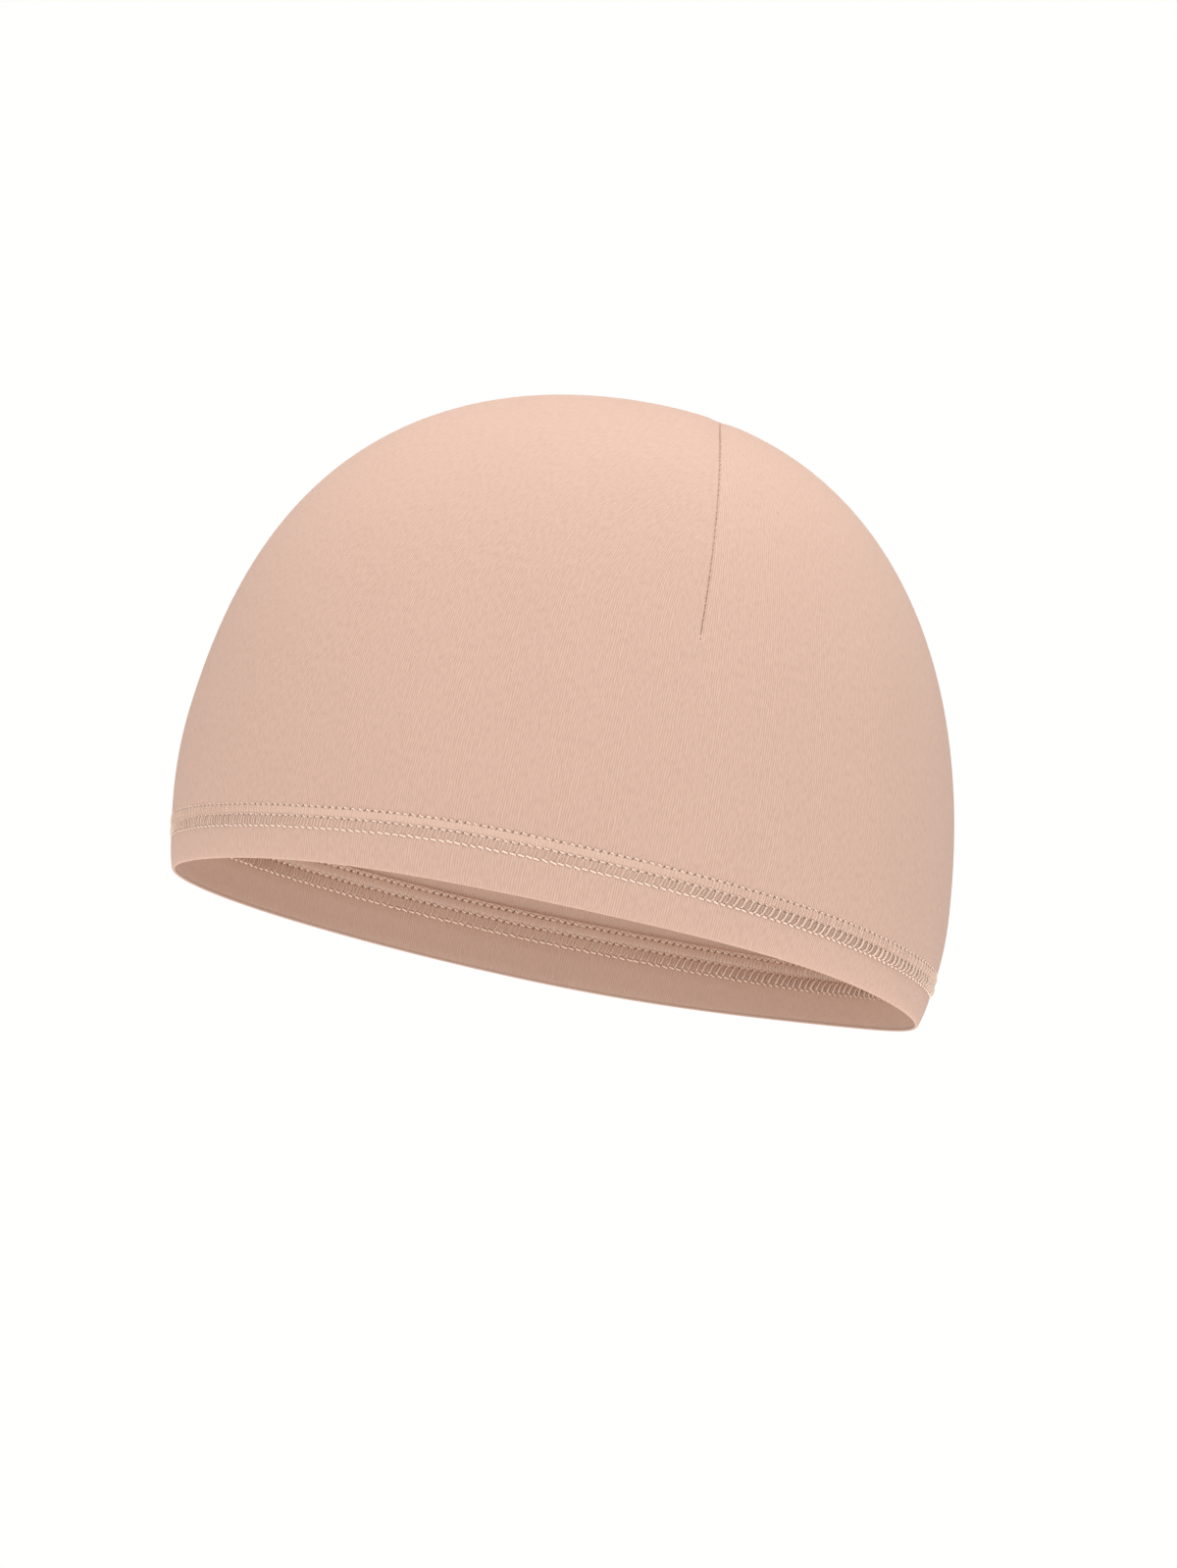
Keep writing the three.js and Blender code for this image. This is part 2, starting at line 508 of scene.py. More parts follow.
class Recipe:
    """A material's node tree, written as short steps."""

    def __init__(self, name: str) -> None:
        """Starts a material with a plain shader.

        Args:
            name: the material's name.
        """
        self.material = bpy.data.materials.new(name)
        self.material.use_nodes = True
        self.nodes = self.material.node_tree.nodes
        self.links = self.material.node_tree.links
        self.shader = self.nodes["Principled BSDF"]

    def feed(self, socket: Socket, value: object) -> None:
        """Links a socket to another, or sets its value.

        Args:
            socket: the socket that takes it.
            value: another socket, a number or a colour.
        """
        if isinstance(value, Socket):
            self.links.new(value, socket)
        else:
            socket.default_value = value

    def maths(self, operation: str, *values: object) -> Socket:
        """A Math node.

        Args:
            operation: what it does, in Blender's words.
            values: its inputs, numbers or sockets.

        Returns:
            Its output.
        """
        node = self.nodes.new("ShaderNodeMath")
        node.operation = operation
        for socket, value in zip(node.inputs, values):
            self.feed(socket, value)
        return node.outputs[0]

    def product(self, *values: object) -> Socket:
        """Its inputs, multiplied together."""
        return reduce(lambda first, second: self.maths("MULTIPLY", first, second), values)

    def total(self, *values: object) -> Socket:
        """Its inputs, added up."""
        return reduce(lambda first, second: self.maths("ADD", first, second), values)

    def distance(self, *values: object) -> Socket:
        """The distance whose parts along square axes are given."""
        return self.maths("SQRT", self.total(*[self.maths("POWER", value, 2.0) for value in values]))

    def smooth_step(self, value: object, low: float, high: float, end: float = 1) -> Socket:
        """A smooth step.

        Args:
            value: where it is asked for.
            low: the value up to which the step is 0.
            high: the value from which it is whole, above or below low.
            end: its height there.

        Returns:
            The step's height.
        """
        node = self.nodes.new("ShaderNodeMapRange")
        node.interpolation_type = "SMOOTHSTEP"
        for socket, number in zip(node.inputs, (value, low, high, 0, end)):
            self.feed(socket, number)
        return node.outputs[0]

    def map_axes(self, name: str) -> tuple[Socket, Socket]:
        """The two axes of a UV map.

        Args:
            name: the map's name.

        Returns:
            Its u and its v.
        """
        node = self.nodes.new("ShaderNodeUVMap")
        node.uv_map = name
        split = self.nodes.new("ShaderNodeSeparateXYZ")
        self.links.new(node.outputs[0], split.inputs[0])
        return split.outputs[0], split.outputs[1]

    def noise(self, place: Socket, scale: float, detail: float) -> Socket:
        """Noise over a space.

        Args:
            place: the place in that space.
            scale: how many clouds there are in one unit.
            detail: how many finer layers it has.

        Returns:
            The noise, from 0 to 1.
        """
        node = self.nodes.new("ShaderNodeTexNoise")
        node.inputs["Scale"].default_value = scale
        node.inputs["Detail"].default_value = detail
        self.links.new(place, node.inputs["Vector"])
        return node.outputs[0]

    def clouds(self, size: float, detail: float) -> Socket:
        """Soft noise in the piece's own coordinates.

        Args:
            size: the size of its clouds.
            detail: how many finer layers it has.

        Returns:
            The noise, from 0 to 1.
        """
        place = self.nodes.new("ShaderNodeTexCoord")
        return self.noise(place.outputs["Object"], 1 / size, detail)

    def streaks(self, across: object, along: object, length: float) -> Socket:
        """Noise drawn out along one axis of a map.

        Args:
            across: the axis that it varies over from one unit to the next.
            along: the axis that it is drawn out along.
            length: how many units long a streak is.

        Returns:
            The noise, from 0 to 1.
        """
        place = self.nodes.new("ShaderNodeCombineXYZ")
        self.feed(place.inputs[0], across)
        self.feed(place.inputs[1], self.maths("DIVIDE", along, length))
        return self.noise(place.outputs[0], 1, 1)

    def mixed(self, share: object, first: Colour | Socket, second: Colour | Socket) -> Socket:
        """Two colours mixed.

        Args:
            share: how much of the second, from 0 to 1.
            first: the colour at 0.
            second: the colour at 1.

        Returns:
            The mix.
        """
        node = self.nodes.new("ShaderNodeMix")
        node.data_type = "RGBA"
        self.feed(node.inputs[0], share)
        for socket, colour in zip(node.inputs[6:8], (first, second)):
            self.feed(socket, (*colour, 1) if isinstance(colour, tuple) else colour)
        return node.outputs[2]

    def bump(self, height: Socket, depth: float, strength: float) -> None:
        """Gives the shader's surface a relief.

        Args:
            height: the relief, from 0 to 1.
            depth: how deep it is.
            strength: how much of it counts.
        """
        node = self.nodes.new("ShaderNodeBump")
        node.inputs["Strength"].default_value = strength
        node.inputs["Distance"].default_value = depth
        self.links.new(height, node.inputs["Height"])
        self.links.new(node.outputs[0], self.shader.inputs["Normal"])

    def gloss(self, roughness: float, specular: float, sheen: float, sheen_roughness: float) -> None:
        """Sets the shader's plain numbers.

        Args:
            roughness: the surface's roughness.
            specular: the strength of its reflections.
            sheen: the soft sheen of fine fibres.
            sheen_roughness: how widely that sheen spreads.
        """
        inputs = self.shader.inputs
        inputs["Roughness"].default_value = roughness
        inputs["Specular IOR Level"].default_value = specular
        inputs["Sheen Weight"].default_value = sheen
        inputs["Sheen Roughness"].default_value = sheen_roughness


class Marks(Enum):
    """What is sewn into a piece of the knit."""

    DART = "dart"
    HEM = "hem"


@dataclass(frozen=True)
class KnitFinish:
    """Smooth, fine-ribbed stretch knit. Its map counts wales across and courses up.

    The sizes of holes, and of what lies along the dart, are in millimetres, as those maps are. A share says how
    far a colour comes through where it is strongest.
    """

    hem: HemSizes
    stitches: int
    wale: Colour = (0.775, 0.522, 0.416)
    # painted shade in the ribs' grooves, and also the darker tone that random streaks and mottle mix toward
    groove_shade_and_tone: Colour = (0.52, 0.325, 0.248)
    # painted shade inside the needle holes
    hole: Colour = (0.29, 0.165, 0.115)
    # painted shade in the dart's crease and in the dot below its end
    crease: Colour = (0.33, 0.215, 0.155)
    # painted shade, mixed in among the cover loops, beside the rungs and on the fold
    between: Colour = (0.38, 0.235, 0.175)
    # painted highlight on the puffed upper strip of the hem
    puffed_highlight: Colour = (0.90, 0.63, 0.50)
    reverse: Colour = (0.72, 0.66, 0.58)
    map_name: str = "Wales"
    slant: float = 0.45
    loop_share: float = 0.2
    relief: float = 0.10 * MM
    mottle: float = 0.05
    mottle_size: float = 28 * MM
    streak: float = 0.30
    streak_length: float = 4.0
    wander: float = 0.5
    hole_lengths: tuple[float, float, float] = (0.28, 0.52, 0.56)
    hole_shade_shares: tuple[float, float, float] = (0.45, 0.95, 1.0)
    hole_width: float = 0.24
    hole_drop: float = 0.12
    hole_lean: tuple[float, float] = (0.64, 0.77)
    # painted shade among the cover loops: its share everywhere, and the more it gets toward the brow and the
    # nape
    loop_shade_base: float = 0.18
    loop_shade_full: float = 0.42
    puffed_highlight_share: float = 0.42
    rung_shade_share: float = 0.45
    reverse_share: float = 0.30
    crown_reverse_share: float = 0.34
    fold_shade_shares: tuple[float, float] = (0.36, 0.62)
    faintest: float = 38.0
    dot_drop: float = 0.8
    pit_shade_share: float = 0.8

    def needle_holes(self, recipe: Recipe) -> tuple[Socket, Socket]:
        """The needle holes of the hem's three rows, which get painted shade, and the painted shade between its
        loops.

        Args:
            recipe: the material's node tree.

        Returns:
            A mask that is 1 in the middle of a hole, and a mask of painted shade that is 1 among the loops.
        """
        hem = self.hem
        stitch, height = recipe.map_axes("Stitches")
        shifted = recipe.maths("ADD", stitch, 0.5)
        across = recipe.product(recipe.maths("SUBTRACT", recipe.maths("FRACT", shifted), 0.5), hem.pitch / MM)
        each = recipe.product(recipe.maths("FLOOR", shifted), 7.3)
        cosine, sine = self.hole_lean
        found: Socket | float = 0.0
        for row, length, share in zip(hem.rows, self.hole_lengths, self.hole_shade_shares):
            up = recipe.maths("SUBTRACT", height, row / MM - self.hole_drop)
            along = recipe.maths("MULTIPLY_ADD", across, cosine, recipe.product(up, sine))
            aside = recipe.maths("MULTIPLY_ADD", across, sine, recipe.product(up, -cosine))
            apart = recipe.distance(recipe.maths("DIVIDE", along, length),
                                    recipe.maths("DIVIDE", aside, self.hole_width))
            found = recipe.maths("MAXIMUM", found, recipe.smooth_step(apart, 1.25, 0.45, share))
        found = recipe.product(found, recipe.smooth_step(recipe.streaks(each, height, 2.0), 0.2, 0.5))
        low, high = hem.rows[0] / MM, hem.rows[1] / MM
        from_brow = self.from_brow(recipe)
        # painted shade among the cover loops, between the two lower rows
        loop_shade = recipe.product(
            recipe.smooth_step(height, low - 0.1, low + 0.3),
            recipe.smooth_step(height, high + 0.1, high - 0.3),
            recipe.total(
                recipe.smooth_step(from_brow, 0.26, 0.38, self.loop_shade_full),
                recipe.smooth_step(from_brow, 0.15, 0.07, self.loop_shade_full),
                self.loop_shade_base,
            ),
        )
        return found, loop_shade

    def from_brow(self, recipe: Recipe) -> Socket:
        """How far round the hem from the brow, from 0 to a half at the nape."""
        count = recipe.maths("ABSOLUTE", recipe.map_axes("Stitches")[0])
        return recipe.maths("PINGPONG", recipe.maths("DIVIDE", count, self.stitches), 0.5)

    def faces(self, recipe: Recipe, colour: Socket) -> Socket:
        """Tones the hem's faces: a painted highlight on the puffed upper strip, painted shade beside its rungs,
        the knit's paler reverse inside, and painted shade on its fold.

        Args:
            recipe: the material's node tree.
            colour: the knit's colour.

        Returns:
            The toned colour.
        """
        stitch, height = recipe.map_axes("Stitches")
        low, high = self.hem.rows[1] / MM, self.hem.rows[2] / MM
        from_brow = self.from_brow(recipe)
        inner = recipe.smooth_step(stitch, 0.5, -0.5)
        # painted highlight where the upper strip puffs out, on the outer face away from the brow and the nape
        strip = recipe.product(
            recipe.smooth_step(height, low + 0.1, low + 0.7, self.puffed_highlight_share),
            recipe.smooth_step(height, high, high - 0.5),
            recipe.smooth_step(from_brow, 0.40, 0.26),
            recipe.smooth_step(from_brow, 0.05, 0.16),
        )
        beside = recipe.maths("PINGPONG", recipe.maths("MULTIPLY_ADD", stitch, 2.0, 0.3), 0.5)
        # painted shade in thin lines beside the fine rungs, where the strip has no painted highlight
        rungs = recipe.product(
            recipe.smooth_step(beside, 0.2, 0.04, self.rung_shade_share),
            recipe.smooth_step(height, low + 0.1, low + 0.4),
            recipe.smooth_step(height, high, high - 0.4),
            recipe.smooth_step(strip, 0.55, 0.0),
        )
        outer_share, inner_share = self.fold_shade_shares
        # painted shade on the fold at the edge, with more of it on the fold's inner half
        fold = recipe.maths(
            "MAXIMUM",
            recipe.product(inner, recipe.smooth_step(height, 1.0, 0.3, inner_share)),
            recipe.smooth_step(height, 0.42, 0.12, outer_share),
        )
        outer = recipe.maths("SUBTRACT", 1.0, inner)
        colour = recipe.mixed(recipe.product(strip, outer), colour, self.puffed_highlight)
        colour = recipe.mixed(rungs, colour, self.between)
        colour = recipe.mixed(recipe.product(inner, self.reverse_share), colour, self.reverse)
        return recipe.mixed(fold, colour, self.between)

    def seam(self, recipe: Recipe) -> Socket:
        """Painted shade in the dart's crease, fainter half way up, with a dot of painted shade just below its
        lower end.

        Args:
            recipe: the material's node tree.

        Returns:
            A mask of painted shade that is 1 at its darkest.
        """
        signed, up = recipe.map_axes("Seam")
        aside = recipe.maths("ABSOLUTE", signed)
        from_faintest = recipe.maths("ABSOLUTE", recipe.maths("SUBTRACT", up, self.faintest))
        line = recipe.product(
            recipe.smooth_step(aside, 0.24, 0.06),
            recipe.smooth_step(up, 0.1, 0.6),
            recipe.total(
                recipe.smooth_step(recipe.streaks(0.0, up, 0.9), 0.3, 0.65, 0.45),
                recipe.smooth_step(from_faintest, 10.0, 36.0, 0.35),
                0.12,
            ),
        )
        from_dot = recipe.distance(aside, recipe.maths("ADD", up, self.dot_drop))
        return recipe.maths("MAXIMUM", line, recipe.smooth_step(from_dot, 0.45, 0.2, self.pit_shade_share))

    def material(self, name: str, marks: Marks) -> bpy.types.Material:
        """Makes the material.

        Args:
            name: its name.
            marks: what is sewn into the piece.

        Returns:
            The material.
        """
        recipe = Recipe(name)
        wales, courses = recipe.map_axes(self.map_name)
        drift = recipe.streaks(recipe.maths("DIVIDE", wales, 3.0), courses, 12.0)
        wales = recipe.total(wales, recipe.product(recipe.maths("SUBTRACT", drift, 0.5), 2 * self.wander))
        aside = recipe.maths("PINGPONG", wales, 0.5)
        rib = recipe.maths("POWER", recipe.maths("SINE", recipe.product(aside, math.pi)), 0.7)
        leaning = recipe.maths("MULTIPLY_ADD", aside, self.slant, courses)
        loop = recipe.maths("MULTIPLY_ADD", recipe.maths("SINE", recipe.product(leaning, math.tau)), 0.5, 0.5)
        height = recipe.total(recipe.product(rib, 1 - self.loop_share), recipe.product(loop, self.loop_share))
        # the ribs' grooves get painted shade against the wales' own colour
        colour = recipe.mixed(recipe.smooth_step(height, 0.05, 0.75), self.groove_shade_and_tone, self.wale)
        # random streaks and mottle darken the knit's own tone
        uneven = recipe.smooth_step(recipe.streaks(wales, courses, self.streak_length), 0.35, 0.75, self.streak)
        colour = recipe.mixed(uneven, colour, self.groove_shade_and_tone)
        cloud = recipe.smooth_step(recipe.clouds(self.mottle_size, 3), 0.3, 0.7, self.mottle)
        colour = recipe.mixed(cloud, colour, self.groove_shade_and_tone)
        if marks is Marks.HEM:
            holes, loop_shade = self.needle_holes(recipe)
            # painted shade among the cover loops
            colour = recipe.mixed(loop_shade, self.faces(recipe, colour), self.between)
            # painted shade in the needle holes
            colour = recipe.mixed(holes, colour, self.hole)
            height = recipe.maths("SUBTRACT", height, recipe.product(holes, 2.0))
        else:
            inner = recipe.smooth_step(recipe.map_axes("Seam")[0], 0.0, -0.1, self.crown_reverse_share)
            colour = recipe.mixed(inner, colour, self.reverse)
            # painted shade in the dart's crease
            colour = recipe.mixed(self.seam(recipe), colour, self.crease)
        recipe.links.new(colour, recipe.shader.inputs["Base Color"])
        recipe.gloss(roughness=0.75, specular=0.2, sheen=0.06, sheen_roughness=0.5)
        recipe.bump(height, self.relief, 0.6)
        return recipe.material


@dataclass(frozen=True)
class ThreadFinish:
    """Spun sewing thread. Its map counts twists along and turns round."""

    light: Colour
    # painted shade in the grooves of the twist
    twist_shade: Colour
    map_name: str = "Twist"
    relief: float = 0.04 * MM

    def material(self, name: str) -> bpy.types.Material:
        """Makes the material.

        Args:
            name: its name.

        Returns:
            The material.
        """
        recipe = Recipe(name)
        along, around = recipe.map_axes(self.map_name)
        twist = recipe.maths("SINE", recipe.product(recipe.total(along, around), math.tau))
        height = recipe.maths("MULTIPLY_ADD", twist, 0.5, 0.5)
        # the twist's grooves get painted shade against the thread's own light colour
        recipe.links.new(recipe.mixed(height, self.twist_shade, self.light), recipe.shader.inputs["Base Color"])
        recipe.gloss(roughness=0.5, specular=0.4, sheen=0.1, sheen_roughness=0.4)
        recipe.bump(height, self.relief, 0.5)
        return recipe.material


@dataclass(frozen=True)
class Fold:
    """A small fold of the cloth near the dart's lower end: how high, how far below and behind the end it lies,
    its half width and half length, and how far it leans for each metre behind.
    """

    height: float
    below: float
    behind: float
    width: float
    length: float
    lean: float = 0


@dataclass
class Crown:
    """The dome of cloth above the hem, creased by the dart's seam."""

    dome: Dome
    hem: HemSizes
    cloth: float = 0.42 * MM
    wale_pitch: float = 0.57 * MM
    course_pitch: float = 0.46 * MM
    pole_step: float = 1.6 * MM
    seam_depth: float = 0.30 * MM
    seam_width: float = 0.24 * MM
    valley_depth: float = 0.30 * MM
    valley_width: float = 2.6 * MM
    allowance: float = 1.0 * MM
    allowance_width: float = 1.1 * MM
    grain_lean: float = 0.56
    rings: int = 117
    column_step: float = math.radians(1.25)
    beside_dart: tuple[float, ...] = (0.07, 0.16, 0.3, 0.5, 0.8, 1.2, 1.8, 2.6)
    end_folds: tuple[Fold, ...] = (
        Fold(height=-0.30 * MM, below=0, behind=0, width=0.9 * MM, length=0.9 * MM),
        Fold(height=0.24 * MM, below=2.4 * MM, behind=0, width=1.5 * MM, length=1.5 * MM),
        Fold(height=0.10 * MM, below=1.5 * MM, behind=6 * MM, width=1.3 * MM, length=6 * MM, lean=0.45),
    )
    flat: tuple[float, float] = (0.335, 0.365)
    flat_area: float = 0.066

    def turns(self) -> Array:
        """The columns' turns, even but for closer ones beside the dart, at the degrees from it in beside_dart.

        Returns:
            The turns, from 0 and short of a full turn.
        """
        dart = self.dome.dart.turn
        near = np.radians(self.beside_dart)
        even = self.column_step
        ahead = np.linspace(0, dart - near[-1], round((dart - near[-1]) / even) + 1)
        behind = np.linspace(dart + near[-1], math.pi, round((math.pi - dart - near[-1]) / even) + 1)
        half = np.concatenate([ahead, dart - near[-2::-1], [dart], dart + near[:-1], behind])
        return np.concatenate([half[:-1], math.tau - half[:0:-1]])

    def runs(self) -> Array:
        """The rings' runs, closer near the crossing, the dart's ends and the hem.

        Returns:
            The runs, without the crossing itself.
        """
        least_gap = 0.0004
        lowest = float(self.dome.run_at(self.hem.height))
        usual = np.linspace(0, lowest, self.rings + 1)[1:]
        near_crossing = np.array([0.0006, 0.0015, 0.003, 0.005])
        about_end = self.dome.dart_run + np.array([-6, -4, -2, 0, 2, 4, 6]) * 0.0021 + least_gap
        above_hem = lowest - np.array([0.0035, 0.010])
        runs = np.unique(np.concatenate([usual, near_crossing, about_end, above_hem]))
        return runs[np.concatenate([[True], np.diff(runs) > least_gap])]

    def seam_distance(self, turn: Array, run: Array, points: Array) -> Array:
        """How far points lie from the dart's line, across it.

        Args:
            turn: their turns.
            run: their runs.
            points: the points.

        Returns:
            The distances from the nearer half of the dart.
        """
        nearest = np.full(points.shape[:-1], np.inf)
        for side in (1, -1):
            line = side * self.dome.dart.turn
            at = self.dome.ray_point(line, run)
            along = unit(self.dome.ray_point(line, run + 0.01) - self.dome.ray_point(line, run - 0.01))
            apart = points - at
            across = apart - (apart * along).sum(-1, keepdims=True) * along
            same_side = np.cos(turn - line) > 0
            far = np.linalg.norm(np.where(same_side[..., None], across, apart), axis=-1)
            nearest = np.minimum(nearest, far)
        return nearest

    def folds(self, points: Array) -> Array:
        """The small folds at the dart's lower ends: a pit, a bead of slack below it and a short wrinkle.

        Args:
            points: points of the outer face.

        Returns:
            How far the cloth stands out there, or in where it is less than 0.
        """
        lift = np.zeros(points.shape[:-1])
        end_run = self.dome.dart_run
        for side in (1, -1):
            line = side * self.dome.dart.turn
            end = self.dome.ray_point(line, end_run)
            down = unit(self.dome.ray_point(line, end_run + 0.01) - end)
            back = np.cross(down, self.dome.outward(line, end_run)) * side
            below, behind = (points - end) @ down, (points - end) @ back
            for fold in self.end_folds:
                across = bell(below - fold.below - fold.lean * behind, fold.width)
                lift += fold.height * across * bell(behind - fold.behind, fold.length)
        return lift

    def build(self) -> Piece:
        """Models the crown as one closed sheet.

        Returns:
            The piece.
        """
        dome = self.dome
        turns, runs = self.turns(), self.runs()
        run, turn = np.meshgrid(runs, turns, indexing="ij")
        base, out = dome.ray_point(turn, run), dome.outward(turn, run)
        near = self.seam_distance(turn, run, base)
        fade = ramp(dome.dart_run, dome.dart_run - 0.008, run)
        seam = fade * bell(near, self.seam_width) * self.seam_depth
        valley = fade * bell(near, self.valley_width) * self.valley_depth
        lift = self.folds(base) - seam - valley
        depth = self.cloth - lift + fade * bell(near, self.allowance_width) * self.allowance
        outer, inner = base + out * lift[..., None], base - out * depth[..., None]

        upward = dome.outward(0, 0)
        pole = dome.ray_point(0, 0)
        dip = self.seam_depth + self.valley_depth
        outer_pole = pole - upward * dip
        inner_pole = pole - upward * (self.cloth + dip + self.allowance)

        places = self.grain(turns, runs, base)
        top = [np.stack([side[0][:, 0], side[0][:, 1] + self.pole_step / self.course_pitch], axis=-1)
               for side in places]
        body = ClothMesh("crown_cloth")
        body.add(outer_pole[None], *top)
        for i in range(len(runs)):
            body.add(outer[i], places[0][i], places[1][i])
        for i in reversed(range(len(runs))):
            body.add(inner[i], places[0][i], places[1][i])
        body.add(inner_pole[None], *top)
        piece = body.build(False, "Wales")
        self.map_seam(piece.data, run, near)
        return piece

    def map_seam(self, mesh: bpy.types.Mesh, run: Array, near: Array) -> None:
        """Adds the map of millimetres aside of the dart and up from its lower end.

        Those aside are less than 0 on the inner face.

        Args:
            mesh: the crown's mesh.
            run: the runs of the outer face's points.
            near: how far those points lie from the dart.
        """
        fine = np.linspace(1, 0, FINE_RUNS)
        way = travelled(self.dome.ray_point(self.dome.dart.turn, fine))
        up = np.interp(1 - run, 1 - fine, way) - np.interp(1 - self.dome.dart_run, 1 - fine, way)
        outer = np.stack([near, up], axis=-1)
        pole = np.array([[0, up.max()]])
        inner = outer[::-1].reshape(-1, 2) * (-1, 1)
        places = np.concatenate([pole, outer.reshape(-1, 2), inner, pole]) / MM
        corner_map(mesh, "Seam", places[corner_points(mesh)])

    def grain(self, turns: Array, runs: Array, base: Array) -> tuple[Array, Array]:
        """Wales and courses of the knit. Ahead of the dart the wales lean back into its seam.

        Args:
            turns: the columns' turns.
            runs: the rings' runs.
            base: the outer face's points.

        Returns:
            The map for the faces that start at each column, and for those that end there.
        """
        dart = self.dome.dart.turn
        short = self.grain_lean * np.clip(1 - runs / self.dome.dart_run, 0, 1)[:, None] ** 2
        closed = np.append(turns, math.tau)[None]
        wales = round(self.dome.girth(self.hem.height) / self.wale_pitch)
        ahead = np.where(closed <= math.pi, closed * (1 - short), math.tau - (math.tau - closed) * (1 - short))
        plain = closed + 0 * short
        tiny = 1e-9
        starts_ahead = (closed < dart - tiny) | (closed > math.tau - dart - tiny)
        ends_ahead = (closed < dart + tiny) | (closed > math.tau - dart + tiny)
        steps = np.linalg.norm(np.diff(base, axis=0), axis=-1)
        up = np.concatenate([np.cumsum(steps[::-1], axis=0)[::-1], 0 * steps[:1]]) / self.course_pitch
        up = np.concatenate([up, up[:, :1]], axis=1)
        share = wales / (math.tau)
        first = np.stack([np.where(starts_ahead, ahead, plain) * share, up], axis=-1)
        second = np.stack([np.where(ends_ahead, ahead, plain) * share, up], axis=-1)
        return first, second

    def dress(self, piece: Piece, knit: KnitFinish) -> None:
        """Gives the crown its knit and its body, and hides the imported crown.

        Args:
            piece: the crown.
            knit: what it is made of.
        """
        piece.data.materials.append(knit.material("crown_knit", Marks.DART))
        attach(piece, BODY)
        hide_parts("crown")


